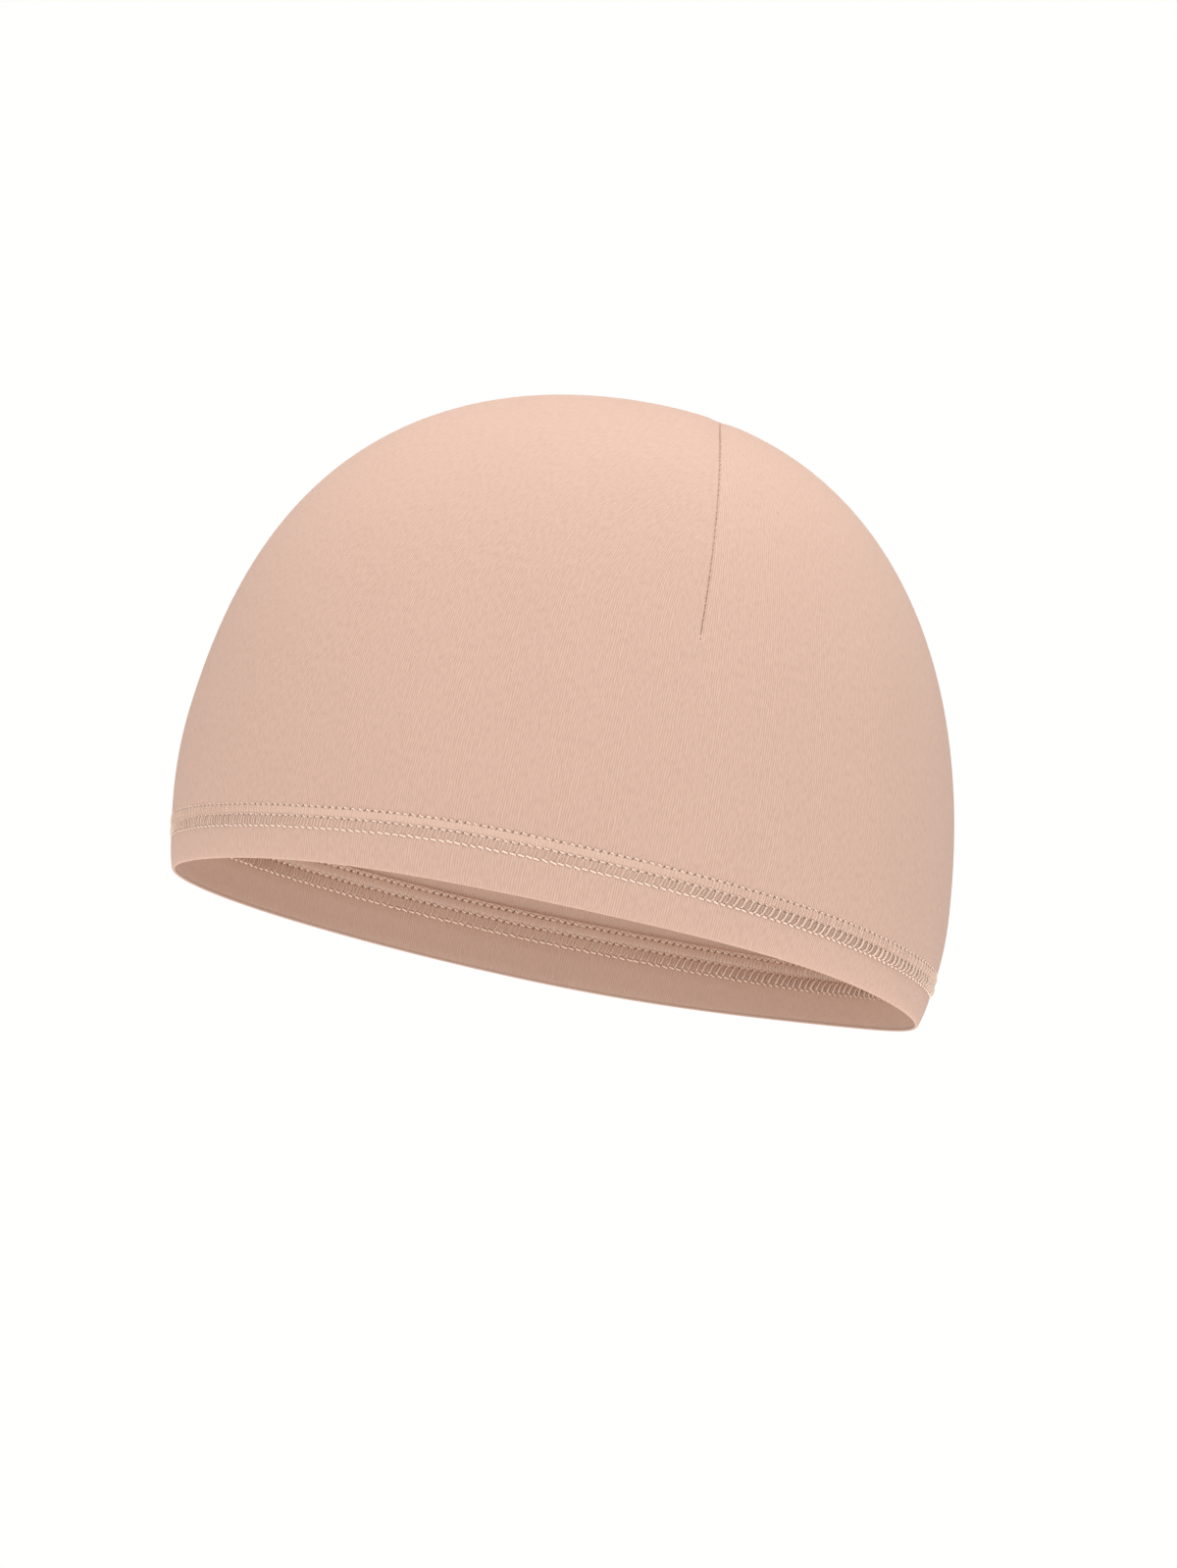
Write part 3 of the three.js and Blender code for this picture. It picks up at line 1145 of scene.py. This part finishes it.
@dataclass
class HemBand:
    """The cloth folded up inside round the opening, a thin sheet in two layers."""

    dome: Dome
    sizes: HemSizes
    wale_pitch: float = 0.57 * MM
    course_pitch: float = 0.46 * MM
    columns_each_stitch: int = 2
    fine_to: float = 6.9 * MM
    outer_rows: int = 31
    inner_rows: int = 39
    coarse_rows: int = 8
    fold_steps: int = 10
    hidden_rows: int = 12

    def stitches(self) -> int:
        """How many stitches go round."""
        return round(self.dome.girth(self.sizes.rows[1]) / self.sizes.pitch)

    def place(self, turn: Array, level: Array, face: Face, lift: Array | float) -> tuple[Array, Array]:
        """Points on or above the hem's cloth.

        Args:
            turn: the turns round from the brow.
            level: the levels, counted with the needle rows.
            face: which face of the hem.
            lift: how far out of the cloth.

        Returns:
            The points, and the face's normals there.
        """
        turn, level = np.broadcast_arrays(turn, level)
        run = self.dome.run_at(self.sizes.above(turn, level, face))
        out = self.dome.outward(turn, run)
        proud = self.sizes.relief(level) + lift
        offset = proud if face is Face.OUTSIDE else -self.sizes.wall - proud
        return self.dome.ray_point(turn, run) + out * offset[..., None], out if face is Face.OUTSIDE else -out

    def build(self) -> Piece:
        """Models the hem as one closed sheet: its outer skin down, round the fold and up, then its inner skin.

        Returns:
            The piece.
        """
        sizes = self.sizes
        count = self.stitches()
        columns = count * self.columns_each_stitch
        turns = self.dome.even_turns(columns, sizes.rows[1])
        bend = sizes.wall / 2
        plain = 0 * turns
        fine_to = self.fine_to
        raw_edge = sizes.above(turns, sizes.raw_edge, Face.INSIDE)
        coarse = [plain + height for height in np.linspace(fine_to, bend, self.coarse_rows)]
        outer = [plain + height for height in np.linspace(sizes.height, fine_to, self.outer_rows + 1)[:-1]]
        inner = [fine_to + (raw_edge - fine_to) * up for up in np.linspace(0, 1, self.inner_rows + 1)[1:-1]]
        angles = np.linspace(0, math.pi, self.fold_steps + 1)[1:-1]
        body = ClothMesh("hem_cloth")
        wales = round(self.dome.girth(sizes.height) / self.wale_pitch)
        share = np.append(turns, math.tau) / (math.tau)
        self.stitch_levels: list[Array] = []

        def add(height: Array, travelled: Array, depth: float, relief: int) -> None:
            """Adds a row.

            Args:
                height: its heights above the edge.
                travelled: how far down the cloth it lies from the top of the hem.
                depth: how far inside the dome's face.
                relief: 1 for the relief out of the cap, -1 into it and 0 for none.
            """
            face = Face.INSIDE if depth > bend else Face.OUTSIDE
            level = sizes.level(turns, height, face)
            run = self.dome.run_at(height)
            offset = relief * sizes.relief(level) - depth
            points = self.dome.ray_point(turns, run) + self.dome.outward(turns, run) * offset[:, None]
            courses = -np.append(travelled, travelled[0]) / self.course_pitch
            place = np.stack([share * wales, courses], axis=-1)
            body.add(points, place, place)
            self.stitch_levels.append(level if face is Face.OUTSIDE else -level)

        for height in outer + coarse:
            add(height, sizes.height - height, 0, 1)
        for angle in angles:
            add(plain + bend * (1 - math.sin(angle)), plain + sizes.height - bend + bend * angle,
                bend * (1 - math.cos(angle)), 0)
        for height in coarse[::-1] + inner:
            add(height, sizes.height + height, sizes.wall, -1)
        add(raw_edge, sizes.height + raw_edge, sizes.wall, 0)
        for up in np.linspace(1, 0, self.hidden_rows):
            height = bend + (raw_edge - bend) * up
            add(height, sizes.height + height, sizes.wall - sizes.cloth, -1)
        reach = bend - sizes.cloth
        for angle in angles[::-2]:
            add(plain + bend - reach * math.sin(angle), plain + sizes.height, bend - reach * math.cos(angle), 0)
        for height in np.linspace(bend, sizes.height, self.hidden_rows)[:-1]:
            add(plain + height, plain + sizes.height - height, sizes.cloth, 1)
        add(plain + sizes.height, plain, sizes.cloth, 0)
        piece = body.build(True, "Wales")
        self.map_stitches(piece, columns)
        return piece

    def map_stitches(self, piece: Piece, columns: int) -> None:
        """Adds the map that counts stitches round, backward on the inner face, and millimetres among the rows.

        Args:
            piece: the hem.
            columns: how many columns go round.
        """
        points = corner_points(piece.data)
        row, column = points // columns, points % columns
        wrapped = column.reshape(-1, 4)
        at_end = wrapped.max(axis=1, keepdims=True) == columns - 1
        wrapped = np.where((wrapped == 0) & at_end, columns, wrapped)
        level = np.stack(self.stitch_levels)[row, column]
        stitch = np.sign(level) * wrapped.ravel() / self.columns_each_stitch
        corner_map(piece.data, "Stitches", np.stack([stitch, np.abs(level) / MM], axis=-1))

    def dress(self, piece: Piece, knit: KnitFinish) -> None:
        """Gives the hem its knit and its body, and hides the imported hem band.

        Args:
            piece: the hem.
            knit: what it is made of.
        """
        piece.data.materials.append(knit.material("hem_knit", Marks.HEM))
        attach(piece, BODY)
        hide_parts("hem_band")
        raw_edge = float(self.sizes.above(self.sizes.inner_line.highest, self.sizes.raw_edge, Face.INSIDE))
        flat = (self.sizes.height + raw_edge, self.dome.girth(0))


@dataclass(frozen=True)
class Tube:
    """How a thread is drawn: its radius, its sides, how long one twist is, and its ends' share of the radius."""

    radius: float
    sides: int = 6
    twist: float = 0.5 * MM
    end: float = 0.45


def thread_mesh(name: str, paths: Array, normals: Array, tube: Tube, swell: Array | None = None) -> Piece:
    """Joins many short threads into one piece, each of them a closed tube with drawn-in ends.

    Args:
        name: the piece's name.
        paths: the threads' points, with the thread, the step and x, y, z as axes.
        normals: a direction at each point that isn't along the thread.
        tube: how the threads are drawn.
        swell: how much thicker each thread is than the tube says, or None.

    Returns:
        The piece.
    """
    threads, steps = paths.shape[:2]
    along = unit(np.gradient(paths, axis=1))
    across = unit(np.cross(along, normals))
    over = np.cross(across, along)
    angles = np.arange(tube.sides) * math.tau / tube.sides
    ends = np.ones(steps)
    ends[[0, -1]] = tube.end
    radius = tube.radius * ends[None] * (1 if swell is None else swell[:, None])
    spokes = np.cos(angles)[:, None] * across[..., None, :] + np.sin(angles)[:, None] * over[..., None, :]
    rings = paths[..., None, :] + spokes * radius[..., None, None]

    first = (np.arange(threads) * steps * tube.sides)[:, None, None]
    ring = (np.arange(steps - 1) * tube.sides)[None, :, None]
    side = np.arange(tube.sides)[None, None]
    beside = (side + 1) % tube.sides
    quads = np.stack([first + ring + side, first + ring + beside,
                      first + ring + tube.sides + beside, first + ring + tube.sides + side], axis=-1)
    caps_low = (first[:, 0] + np.arange(tube.sides)[None])[:, ::-1]
    caps_high = first[:, 0] + (steps - 1) * tube.sides + np.arange(tube.sides)[None]
    faces = quads.reshape(-1, 4).tolist() + caps_low.tolist() + caps_high.tolist()

    lengths = np.linalg.norm(np.diff(paths, axis=1, prepend=paths[:, :1]), axis=-1)
    length = np.cumsum(lengths, axis=1) / tube.twist
    low = np.broadcast_to(length[:, :-1, None], (threads, steps - 1, tube.sides))
    high = np.broadcast_to(length[:, 1:, None], low.shape)
    turn = np.broadcast_to(side / tube.sides, low.shape)
    next_turn = turn + 1 / tube.sides
    places = np.stack([low, turn, low, next_turn, high, next_turn, high, turn], axis=-1).reshape(-1, 2)
    mesh = bpy.data.meshes.new(name)
    mesh.from_pydata(rings.reshape(-1, 3).tolist(), [], faces)
    values = np.zeros((len(mesh.loops), 2))
    values[: len(places)] = places
    corner_map(mesh, "Twist", values)
    return finished(mesh, sharp_from=80)


@dataclass
class HemStitching:
    """The needle threads and the cover thread that hold the hem, on one of its faces."""

    hem: HemBand
    face: Face
    seed: int
    low_needle: Tube = Tube(radius=0.21 * MM)
    needle: Tube = Tube(radius=0.165 * MM)
    cover: Tube = Tube(radius=0.16 * MM, sides=5)
    rung: Tube = Tube(radius=0.10 * MM, sides=5)

    def path(self, turn: Array, level: Array, lift: Array) -> tuple[Array, Array]:
        """Points of threads that lie on the hem at levels, and the cloth's normals there."""
        return self.hem.place(turn, level, self.face, lift)

    def joined(self, name: str, strands: list[tuple[Array, Array, Array]], tube: Tube) -> Piece:
        """Joins strands into one piece.

        Args:
            name: what the piece is, to which the face is added.
            strands: the points, the normals and the swell of each strand's legs.
            tube: how they are drawn.

        Returns:
            The piece.
        """
        points, normals, swell = (np.concatenate(part) for part in zip(*strands))
        return thread_mesh(f"{name}_{self.face.value}", points, normals, tube, swell)

    def holes(self) -> Array:
        """The turns of the needle holes."""
        return self.hem.dome.even_turns(self.hem.stitches(), self.hem.sizes.rows[1])

    def spans(self, start: Array, share: Array) -> Array:
        """Turns of points beyond each hole, backward on the inner face.

        Args:
            start: the holes' turns.
            share: how far beyond its hole each point lies, in stitches.

        Returns:
            The turns.
        """
        hand = 1 if self.face is Face.OUTSIDE else -1
        step = math.tau / len(start)
        return start[:, None] + hand * step * share

    def fullness(self, turn: Array) -> Array:
        """How loose the cover thread is: tightest at the sides, and full round the nape."""
        aside = np.arccos(np.cos(turn))
        return 0.22 + 0.32 * bell(aside, 0.9) + 0.78 * ramp(1.45, 2.4, aside)

    def needle_threads(self, row: int, length: float, tilt: float) -> Piece:
        """One row of needle stitches.

        Args:
            row: which row, 0 for the lowest.
            length: the share of a stitch for which the thread shows.
            tilt: how far its ends lie apart in height.

        Returns:
            The piece.
        """
        chance = np.random.default_rng(self.seed + row)
        holes = self.holes()
        share = np.array([0.0, 0.10, 0.28, 0.5, 0.72, 0.90, 1.0])
        rise = np.array([-0.24, 0.02, 0.12, 0.14, 0.12, 0.02, -0.24]) * MM
        spare = 0.12 + chance.normal(0, 0.03, len(holes))[:, None]
        ends = 0.5 + 0.5 * np.sin(holes) ** 2
        if row < 2:
            ends = ends * (1 - (0.1 + 0.3 * row) * ramp(1.9, 2.4, np.arccos(np.cos(holes))))
        longer = (length * ends * (1 + chance.normal(0, 0.06, len(holes))))[:, None]
        turn = self.spans(holes, spare + longer * share[None])
        slope = tilt * (1 + chance.normal(0, 0.25, (len(holes), 1)))
        height = self.hem.sizes.rows[row] + slope * (0.5 - share[None])
        height = height + chance.normal(0, 0.04 * MM, (len(holes), 1))
        lift = rise[None] + chance.normal(0, 0.02 * MM, (len(holes), 1))
        points, normals = self.path(turn, height, lift)
        name = f"needle_thread_{self.face.value}_{row + 1}"
        return thread_mesh(name, points, normals, self.low_needle if row == 0 else self.needle)

    def cover_loops(self) -> Piece:
        """The looped cover thread between the two lower rows: leaning legs, two in each stitch.

        Returns:
            The piece.
        """
        chance = np.random.default_rng(self.seed + 10)
        holes = self.holes()
        low, high = self.hem.sizes.rows[0] + 0.30 * MM, self.hem.sizes.rows[1] - 0.10 * MM
        up = np.array([0.0, 0.08, 0.25, 0.5, 0.75, 0.92, 1.0])
        bow = np.array([-0.10, -0.03, 0.02, 0.0, -0.02, 0.03, 0.10])
        rise = np.array([-0.18, 0.04, 0.18, 0.24, 0.18, 0.04, -0.18]) * MM
        full = self.fullness(holes)[:, None]
        strands = []
        nape = ramp(1.6, 2.3, np.arccos(np.cos(holes)))
        for offset, weight in ((0.12, 1 + 0.2 * nape), (0.62, 0.8 - 0.6 * nape)):
            lean = 0.24 + 0.22 * nape[:, None] + chance.normal(0, 0.07, (len(holes), 1))
            start = offset + chance.normal(0, 0.05, (len(holes), 1))
            turn = self.spans(holes, start + lean * (up[None] - 0.5) + bow[None])
            height = low + (high - low) * up[None] + chance.normal(0, 0.08 * MM, (len(holes), 1))
            lift = rise[None] * full * (1 + chance.normal(0, 0.2, (len(holes), 1)))
            swell = weight * (0.42 + 1.13 * full[:, 0]) * (1 + chance.normal(0, 0.12, len(holes)))
            strands.append((*self.path(turn, height, lift), swell))
        return self.joined("cover_loops", strands, self.cover)

    def cover_rungs(self) -> Piece:
        """The same thread between the two upper rows: fine rungs, nearly sunk in the cloth.

        Returns:
            The piece.
        """
        chance = np.random.default_rng(self.seed + 20)
        holes = self.holes()
        low, high = self.hem.sizes.rows[1] + 0.25 * MM, self.hem.sizes.rows[2] - 0.2 * MM
        up = np.linspace(0, 1, 7)
        rise = np.array([-0.16, 0.02, 0.09, 0.12, 0.09, 0.02, -0.16]) * MM
        full = self.fullness(holes)[:, None]
        strands = []
        for offset in (0.2, 0.55):
            lean = 0.10 + chance.normal(0, 0.06, (len(holes), 1))
            start = offset + lean * (up[None] - 0.5)
            turn = self.spans(holes, start + chance.normal(0, 0.04, (len(holes), 1)))
            height = low + (high - low) * up[None] + 0 * turn
            swell = (0.55 + full[:, 0]) * (1 + chance.normal(0, 0.15, len(holes)))
            strands.append((*self.path(turn, height, rise[None] * full + 0 * turn), swell))
        return self.joined("cover_rungs", strands, self.rung)

    def build(self) -> list[Piece]:
        """Models all the threads on this face.

        Returns:
            The pieces.
        """
        rows = [
            self.needle_threads(0, length=0.76, tilt=0.36 * MM),
            self.needle_threads(1, length=0.52, tilt=0.34 * MM),
            self.needle_threads(2, length=0.46, tilt=0.34 * MM),
        ]
        return [*rows, self.cover_loops(), self.cover_rungs()]

    def dress(self, pieces: list[Piece], needle: bpy.types.Material, cover: bpy.types.Material) -> None:
        """Gives the threads their finish and their body.

        Args:
            pieces: the threads.
            needle: the needle threads' material.
            cover: the cover thread's material.
        """
        for piece in pieces:
            piece.data.materials.append(needle if piece.name.startswith("needle") else cover)
            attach(piece, BODY)


@dataclass
class DartStitching:
    """The small stitches that bridge the dart's crease."""

    dome: Dome
    pitch: float = 2.0 * MM
    reach: float = 0.42 * MM
    slant: float = 0.55 * MM
    depth: float = 0.36 * MM
    seed: int = 31
    tube: Tube = Tube(radius=0.09 * MM, sides=5)

    def build(self) -> Piece:
        """Models the stitches from one lower end, across the top, to the other.

        Returns:
            The piece.
        """
        chance = np.random.default_rng(self.seed)
        end_run = self.dome.dart_run
        runs = np.linspace(-end_run, end_run, FINE_RUNS)
        side = np.where(runs < 0, -1, 1)
        line = self.dome.ray_point(side * self.dome.dart.turn, np.abs(runs))
        along = travelled(line)
        count = round(along[-1] / self.pitch)
        middles = (np.arange(count) + 0.5) * along[-1] / count
        at = points_along(line, middles)
        forward = unit(points_along(line, middles + 0.5 * MM) - at)
        signed = np.interp(middles, along, runs)
        out = self.dome.outward(np.sign(signed) * self.dome.dart.turn, np.abs(signed))
        across = np.cross(forward, out)
        share = np.linspace(-1, 1, 7)
        arch = np.array([-0.25, -0.02, 0.05, 0.07, 0.05, -0.02, -0.25]) * MM
        slant = (self.slant + chance.normal(0, 0.08 * MM, count))[:, None, None]
        reach = (self.reach + chance.normal(0, 0.03 * MM, count))[:, None, None]
        paths = (at[:, None] + across[:, None] * reach * share[None, :, None]
                 + forward[:, None] * slant * share[None, :, None] / 2
                 + out[:, None] * (arch - self.depth)[None, :, None])
        normals = np.broadcast_to(out[:, None], paths.shape)
        return thread_mesh("dart_stitches", paths, normals, self.tube)

    def dress(self, piece: Piece, thread: bpy.types.Material) -> None:
        """Gives the stitches their finish and their body.

        Args:
            piece: the stitches.
            thread: their material.
        """
        piece.data.materials.append(thread)
        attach(piece, BODY)


@dataclass(frozen=True)
class Softbox:
    """A square light."""

    name: str
    place: tuple[float, float, float]
    size: float
    power: float
    colour: Colour = (1, 1, 1)


@dataclass
class Studio:
    """A plain pale floor, soft light and the camera at the photo's viewing angle."""

    aim: tuple[float, float, float] = (0, 11.3 * MM, 42.5 * MM)
    distance: float = 1.8
    elevation: float = math.radians(-9.18)
    view_height: float = 399.75 * MM
    floor_level: float = -2.2
    floor_size: float = 60
    sky: float = 0.58
    lights: tuple[Softbox, ...] = (
        Softbox("softbox_over", (0.7, 0.6, 1.5), 1.2, 19.4, (0.96, 1.02, 1.03)),
        Softbox("softbox_side", (1.1, -0.2, 1.5), 1.4, 5.8),
        Softbox("softbox_brow", (0.3, -1.9, 0.1), 1.3, 8.8),
        Softbox("softbox_below", (0.2, 0, -1.7), 1.6, 32.0, (0.99, 1.0, 1.015)),
    )

    def camera(self) -> None:
        """Places the camera, a little below the cap on its left."""
        data = bpy.data.cameras.new("camera")
        data.sensor_width = 36
        data.lens = data.sensor_width * self.distance / self.view_height
        data.clip_start, data.clip_end = 0.05, 50
        camera = bpy.data.objects.new("camera", data)
        away = Vector((math.cos(self.elevation), 0, math.sin(self.elevation)))
        camera.location = Vector(self.aim) + away * self.distance
        camera.rotation_euler = (-away).to_track_quat("-Z", "Y").to_euler()
        bpy.context.scene.collection.objects.link(camera)
        bpy.context.scene.camera = camera

    def floor(self) -> None:
        """Lays a wide pale floor, well below the cap."""
        bpy.ops.mesh.primitive_plane_add(size=self.floor_size, location=(0, 0, self.floor_level))
        floor = bpy.context.object
        floor.name = "floor"
        recipe = Recipe("floor_paint")
        recipe.shader.inputs["Base Color"].default_value = (0.94, 0.94, 0.93, 1)
        recipe.shader.inputs["Roughness"].default_value = 0.8
        floor.data.materials.append(recipe.material)

    def light(self) -> None:
        """Hangs the softboxes and sets the white surround, which the camera sees as plain white."""
        for box in self.lights:
            data = bpy.data.lights.new(box.name, "AREA")
            data.size, data.energy, data.color = box.size, box.power, box.colour
            lamp = bpy.data.objects.new(box.name, data)
            lamp.location = box.place
            lamp.rotation_euler = (-Vector(box.place)).to_track_quat("-Z", "Y").to_euler()
            lamp.visible_camera = False
            bpy.context.scene.collection.objects.link(lamp)
        world = bpy.data.worlds.new("surround")
        world.use_nodes = True
        nodes, links = world.node_tree.nodes, world.node_tree.links
        seen = nodes["Background"]
        seen.inputs["Color"].default_value = (1, 1, 0.992, 1)
        sky = nodes.new("ShaderNodeBackground")
        sky.inputs["Color"].default_value = (1, 0.99, 0.98, 1)
        sky.inputs["Strength"].default_value = self.sky
        path, mix = nodes.new("ShaderNodeLightPath"), nodes.new("ShaderNodeMixShader")
        links.new(path.outputs["Is Camera Ray"], mix.inputs[0])
        links.new(sky.outputs[0], mix.inputs[1])
        links.new(seen.outputs[0], mix.inputs[2])
        links.new(mix.outputs[0], nodes["World Output"].inputs["Surface"])
        bpy.context.scene.world = world

    def build(self) -> None:
        """Sets up the studio."""
        bpy.context.scene.view_settings.view_transform = "Standard"
        self.camera()
        self.floor()
        self.light()


def report(pieces: list[Piece]) -> None:
    """Logs each piece's faces."""
    for piece in pieces:
        LOG.info("%s: %d faces", piece.name, len(piece.data.polygons))


def main() -> None:
    """Builds the cap on its frame, and the studio round it."""
    logging.basicConfig(level=logging.INFO, format="%(name)s: %(message)s")
    dome, sizes = Dome(), HemSizes()
    crown = Crown(dome, sizes)
    crown_cloth = crown.build()
    hem = HemBand(dome, sizes)
    knit = KnitFinish(sizes, hem.stitches())
    hem_cloth = hem.build()
    crown.dress(crown_cloth, knit)
    hem.dress(hem_cloth, knit)
    report([crown_cloth, hem_cloth])

    needle = ThreadFinish(light=(1.0, 0.84, 0.72), twist_shade=(0.90, 0.70, 0.57)).material("needle_thread")
    cover = ThreadFinish(light=(0.93, 0.73, 0.60), twist_shade=(0.74, 0.53, 0.42)).material("cover_thread")
    for face, seed in ((Face.OUTSIDE, 1), (Face.INSIDE, 101)):
        stitching = HemStitching(hem, face, seed)
        threads = stitching.build()
        stitching.dress(threads, needle, cover)
        report(threads)

    seam = DartStitching(dome)
    seam_stitches = seam.build()
    seam.dress(seam_stitches, cover)
    report([seam_stitches])

    Studio().build()


if __name__ == "__main__":
    main()
